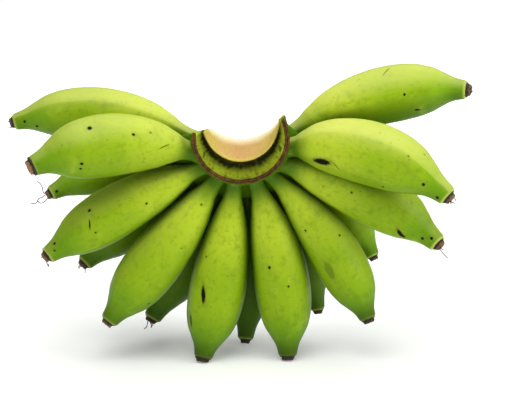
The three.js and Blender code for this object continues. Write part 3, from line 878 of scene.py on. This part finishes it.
def buildCapTree():
    spec = capShape
    bench, given = newTree("flowerEnd", {
        "Girth": "Float", "Seed": "Float", "Threads": "Int", "Curl": "Float", "Dry": "Material"})
    add = bench.add
    sheet, share, round_, isOpen = sheetOf(bench, spec["stations"], spec["sides"])
    turn = round_ * (2 * math.pi)
    wide = add("ShaderNodeFloatCurve", {"points": spec["rim"]}, {"Value": share})
    rise = add("ShaderNodeFloatCurve", {"points": spec["rise"]}, {"Value": share})
    loop = bench.join(turn.calc("SINE") * 2, turn.calc("COSINE") * 2, share * 3)
    torn = bench.cloud(loop, 1.4, 4, given["Seed"]) - 0.5
    radius = wide * given["Girth"] * (0.5 * spec["share"]) * isOpen * (1 + torn * spec["ragged"])
    jag = torn * spec["jag"] * bench.hump(share, spec["jagAt"], spec["jagReach"])
    height = rise * spec["height"] - spec["sunk"] + jag
    place = bench.join(radius * turn.calc("SINE"), height, radius * turn.calc("COSINE"))
    cap = rollUp(bench, sheet, place)
    # threads start on the cap and curl away from it
    reach = given["Girth"] * (0.3 * spec["share"])
    low = bench.join(0 - reach, 0.0, 0 - reach)
    high = bench.join(reach, spec["threadRise"], reach)
    spots = add("FunctionNodeRandomValue", {"data_type": "FLOAT_VECTOR"}, {0: low, 1: high, 8: 3})
    dots = add("GeometryNodePoints", None, {"Count": given["Threads"], "Position": spots})
    end = bench.join(0.0, given["Curl"], 0.0)
    strand = add("GeometryNodeCurvePrimitiveLine", None, {"Start": (0, 0, 0), "End": end})
    strand = add("GeometryNodeResampleCurve", None, {"Curve": strand, "Count": spec["threadPoints"]})
    most = spec["threadTurn"]
    least = tuple(-part for part in most)
    turns = add("FunctionNodeRandomValue", {"data_type": "FLOAT_VECTOR"}, {0: least, 1: most, 8: 5})
    shortest, longest = spec["threadLengths"]
    lengths = add("FunctionNodeRandomValue", {"data_type": "FLOAT"}, {2: shortest, 3: longest, 8: 8}, 1)
    strands = add("GeometryNodeInstanceOnPoints", None, {
        "Points": dots, "Instance": strand, "Rotation": turns, "Scale": lengths})
    strands = add("GeometryNodeRealizeInstances", None, {"Geometry": strands})
    factor = add("GeometryNodeSplineParameter")
    drift = add("ShaderNodeTexNoise", {"noise_dimensions": "4D"}, {
        "Vector": add("GeometryNodeInputPosition"), "W": given["Seed"], "Scale": spec["threadScale"],
        "Detail": 1}, 1)
    drift = bench.vector("SUBTRACT", drift, (0.5, 0.5, 0.5))
    bow = factor * factor * given["Curl"] * spec["threadBow"]
    drift = bench.vector("MULTIPLY", drift, bench.join(bow, bow, bow))
    strands = add("GeometryNodeSetPosition", None, {"Geometry": strands, "Offset": drift})
    thin = 1 - factor * spec["threadTaper"]
    strands = add("GeometryNodeSetCurveRadius", None, {"Curve": strands, "Radius": thin})
    ring = add("GeometryNodeCurvePrimitiveCircle", None, {"Resolution": 5, "Radius": spec["threadWidth"]})
    hairs = add("GeometryNodeCurveToMesh", None, {"Curve": strands, "Profile Curve": ring, "Fill Caps": True})
    hairs = add("GeometryNodeSetShadeSmooth", None, {"Geometry": hairs})
    closeTree(bench, add("GeometryNodeJoinGeometry", None, {"Geometry": [cap, hairs]}), given["Dry"])
    return bench.tree


def buildCapMaterial(name, dry, seed):
    spec = capLook
    material, bench = newMaterial("flower_" + name)
    add, mix, step, cloud = bench.add, bench.mix, bench.step, bench.cloud
    along = bench.split(add("ShaderNodeUVMap", {"uv_map": "chart"}))[0]
    here = add("ShaderNodeTexCoord", None, None, 3)
    patch = cloud(here, spec["patchScale"], 4, seed)
    uneven = (patch - 0.5) * 0.3
    ring = along + uneven
    tint = mix(step(ring, *spec["baseFade"]), spec["base"], spec["rim"])
    disc = mix(dry, spec["disc"], spec["dryDisc"])
    tint = mix(step(ring, *spec["discFade"]) * spec["discShare"], tint, disc)
    flecks = step(cloud(here, spec["fleckScale"], 3, seed), *spec["fleckFade"])
    tint = mix(flecks * spec["fleckShare"], tint, spec["thread"])
    tint = mix(1 - step(along, *spec["threadFade"]), tint, spec["thread"])
    closeMaterial(bench, spec, tint, spec["roughness"] + uneven, patch + cloud(here, 1100, 3))
    return material


capTree = buildCapTree()
for number, (name, fruit) in enumerate(bananas.items()):
    piece = grow("flower_" + name, capTree, {
        "Girth": fruit["girth"] * fruit["capSize"] * mm, "Seed": number * 2.9,
        "Threads": fruit["threads"], "Curl": fruit["curl"] * mm,
        "Dry": buildCapMaterial(name, fruit["dry"], number * 1.7)}, fruit["tip"])
    for vertex in piece.data.vertices:  # the hand stands on the worn tips
        vertex.co.z = max(vertex.co.z, 0)
    keep(piece, "flower_end", "flower_end_" + name)
print("flower ends dried")

# pale floor, glowing faintly near the hand and brightly far off, and soft light from above
stage = {"tone": (0.82, 0.83, 0.8, 1), "near": (0.25, 0.25, 0.25, 1), "far": (0.9, 0.9, 0.9, 1),
         "fade": (0.3, 1.1), "roughness": 0.6, "gloss": 0.2,
         "corners": [(-8, -4, 0), (8, -4, 0), (8, 12, 0), (-8, 12, 0)]}
floor = newPiece("floor")
floor.data.from_pydata(stage["corners"], [], [(0, 1, 2, 3)])
floorMaterial, bench = newMaterial("glowingPaleFloor")
spot = bench.add("ShaderNodeTexCoord", None, None, 3)
grain = bench.cloud(spot, 400, 2)
reach = bench.add("ShaderNodeVectorMath", {"operation": "LENGTH"}, {0: spot}, 1)
# painted light: the floor glows, lightening its shadows and the fruits' undersides near the hand and whitening
# the distance
glow = bench.mix(bench.step(reach, *stage["fade"]), stage["near"], stage["far"])
shader = bench.add("ShaderNodeBsdfPrincipled", None, {
    "Base Color": stage["tone"], "Roughness": stage["roughness"] + (grain - 0.5) * 0.1,
    "Specular IOR Level": stage["gloss"], "Emission Color": glow, "Emission Strength": 1})
bench.add("ShaderNodeOutputMaterial", None, {"Surface": shader})
floor.data.materials.append(floorMaterial)

lamps = {
    "top": dict(at=(0.0, 0.1, 1.5), aim=(0, 0, 0), size=(1.8, 1.4), power=20),
    "front": dict(at=(-0.25, -0.85, 1.55), aim=(0, 0, 0.1), size=(1.2, 1.0), power=16),
    "side": dict(at=(1.3, -0.5, 0.7), aim=(0, 0, 0.1), size=(0.9, 0.9), power=11),
    "back": dict(at=(0, 1.1, 1.2), aim=(0, 0, 0.1), size=(1.6, 0.9), power=3),
}
for name, lamp in lamps.items():
    light = bpy.data.lights.new(name, "AREA")
    light.shape = "RECTANGLE"
    light.size, light.size_y = lamp["size"]
    light.energy = lamp["power"]
    holder = bpy.data.objects.new(name, light)
    holder.location = lamp["at"]
    holder.rotation_euler = (Vector(lamp["aim"]) - Vector(lamp["at"])).to_track_quat("-Z", "Y").to_euler()
    bpy.context.scene.collection.objects.link(holder)
sky = {"above": 0.06, "level": 0.03, "below": 0.01}
world = bpy.data.worlds.new("studio")
world.use_nodes = True
bench = Bench(world.node_tree)
height = bench.split(bench.add("ShaderNodeTexCoord", None, None, 0))[2]
strength = sky["below"] + bench.step(height, -0.5, 0.1) * (sky["level"] - sky["below"])
strength = strength + bench.step(height, 0, 1) * (sky["above"] - sky["level"])
glow = bench.add("ShaderNodeBackground", None, {"Color": (1, 1, 1, 1), "Strength": strength})
bench.add("ShaderNodeOutputWorld", None, {"Surface": glow})
bpy.context.scene.world = world
bpy.context.scene.view_settings.view_transform = "Standard"
print("stage lit")
